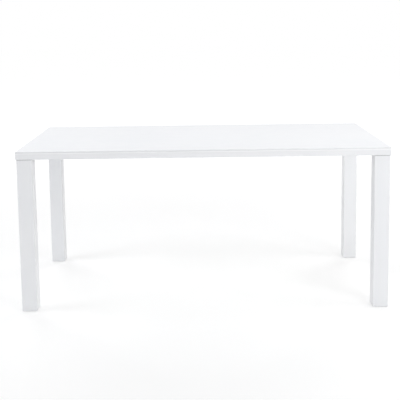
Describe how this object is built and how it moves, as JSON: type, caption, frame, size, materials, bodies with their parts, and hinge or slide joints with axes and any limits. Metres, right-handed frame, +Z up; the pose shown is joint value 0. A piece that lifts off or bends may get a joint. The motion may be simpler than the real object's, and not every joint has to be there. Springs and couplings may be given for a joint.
{
  "type": "dining table",
  "caption": "Rectangular white lacquered dining table: a thin flat hollow top on square corner legs, bolted on by steel plates let into the underside, with screw-in levelling glides.",
  "frame": {"origin": "on the floor, under the middle of the table", "axes": "+X along the table's length to the right, +Y from the front to the back, +Z up"},
  "size_m": [1.7, 0.85, 0.75],
  "materials": {
    "white_lacquer": "smooth white lacquer on fibreboard",
    "white_foil": "plain white foil on thin fibreboard",
    "raw_fibreboard": "raw fibreboard",
    "raw_beech": "raw planed beech",
    "zinc_plated_steel": "bright zinc plate",
    "zinc_alloy": "plain die-cast zinc",
    "grey_nylon": "moulded nylon"
  },
  "bodies": {
    "table": {"back_edge_rail": "white_lacquer", "back_left_corner_block": "raw_beech", "back_left_leg_back_board": "white_lacquer", "back_left_leg_foot_block": "raw_beech", "back_left_leg_front_board": "white_lacquer", "back_left_leg_left_board": "white_lacquer", "back_left_leg_right_board": "white_lacquer", "back_left_leg_top_block": "raw_beech", "back_left_mounting_plate": "zinc_plated_steel", "back_right_corner_block": "raw_beech", "back_right_leg_back_board": "white_lacquer", "back_right_leg_foot_block": "raw_beech", "back_right_leg_front_board": "white_lacquer", "back_right_leg_left_board": "white_lacquer", "back_right_leg_right_board": "white_lacquer", "back_right_leg_top_block": "raw_beech", "back_right_mounting_plate": "zinc_plated_steel", "cross_rib_1": "raw_fibreboard", "cross_rib_2": "raw_fibreboard", "cross_rib_3": "raw_fibreboard", "cross_rib_4": "raw_fibreboard", "cross_rib_5": "raw_fibreboard", "front_edge_rail": "white_lacquer", "front_left_corner_block": "raw_beech", "front_left_leg_back_board": "white_lacquer", "front_left_leg_foot_block": "raw_beech", "front_left_leg_front_board": "white_lacquer", "front_left_leg_left_board": "white_lacquer", "front_left_leg_right_board": "white_lacquer", "front_left_leg_top_block": "raw_beech", "front_left_mounting_plate": "zinc_plated_steel", "front_right_corner_block": "raw_beech", "front_right_leg_back_board": "white_lacquer", "front_right_leg_foot_block": "raw_beech", "front_right_leg_front_board": "white_lacquer", "front_right_leg_left_board": "white_lacquer", "front_right_leg_right_board": "white_lacquer", "front_right_leg_top_block": "raw_beech", "front_right_mounting_plate": "zinc_plated_steel", "glide_inserts": "zinc_alloy", "left_edge_rail": "white_lacquer", "leg_screws": "zinc_plated_steel", "long_rib_1": "raw_fibreboard", "long_rib_2": "raw_fibreboard", "plate_bolts": "zinc_plated_steel", "plate_inserts": "zinc_alloy", "plate_washers": "zinc_plated_steel", "right_edge_rail": "white_lacquer", "top_skin": "white_lacquer", "underside_panel": "white_foil"},
    "front_left_glide": {"front_left_glide_pad": "grey_nylon", "front_left_glide_stem": "zinc_plated_steel"},
    "front_right_glide": {"front_right_glide_pad": "grey_nylon", "front_right_glide_stem": "zinc_plated_steel"},
    "back_right_glide": {"back_right_glide_pad": "grey_nylon", "back_right_glide_stem": "zinc_plated_steel"},
    "back_left_glide": {"back_left_glide_pad": "grey_nylon", "back_left_glide_stem": "zinc_plated_steel"}
  },
  "joints": [
    {"name": "front_left_glide_adjust", "type": "slide", "parent": "table", "child": "front_left_glide", "axis": [0, 0, -1], "range_m": [0, 0.01]},
    {"name": "front_right_glide_adjust", "type": "slide", "parent": "table", "child": "front_right_glide", "axis": [0, 0, -1], "range_m": [0, 0.01]},
    {"name": "back_right_glide_adjust", "type": "slide", "parent": "table", "child": "back_right_glide", "axis": [0, 0, -1], "range_m": [0, 0.01]},
    {"name": "back_left_glide_adjust", "type": "slide", "parent": "table", "child": "back_left_glide", "axis": [0, 0, -1], "range_m": [0, 0.01]}
  ]
}
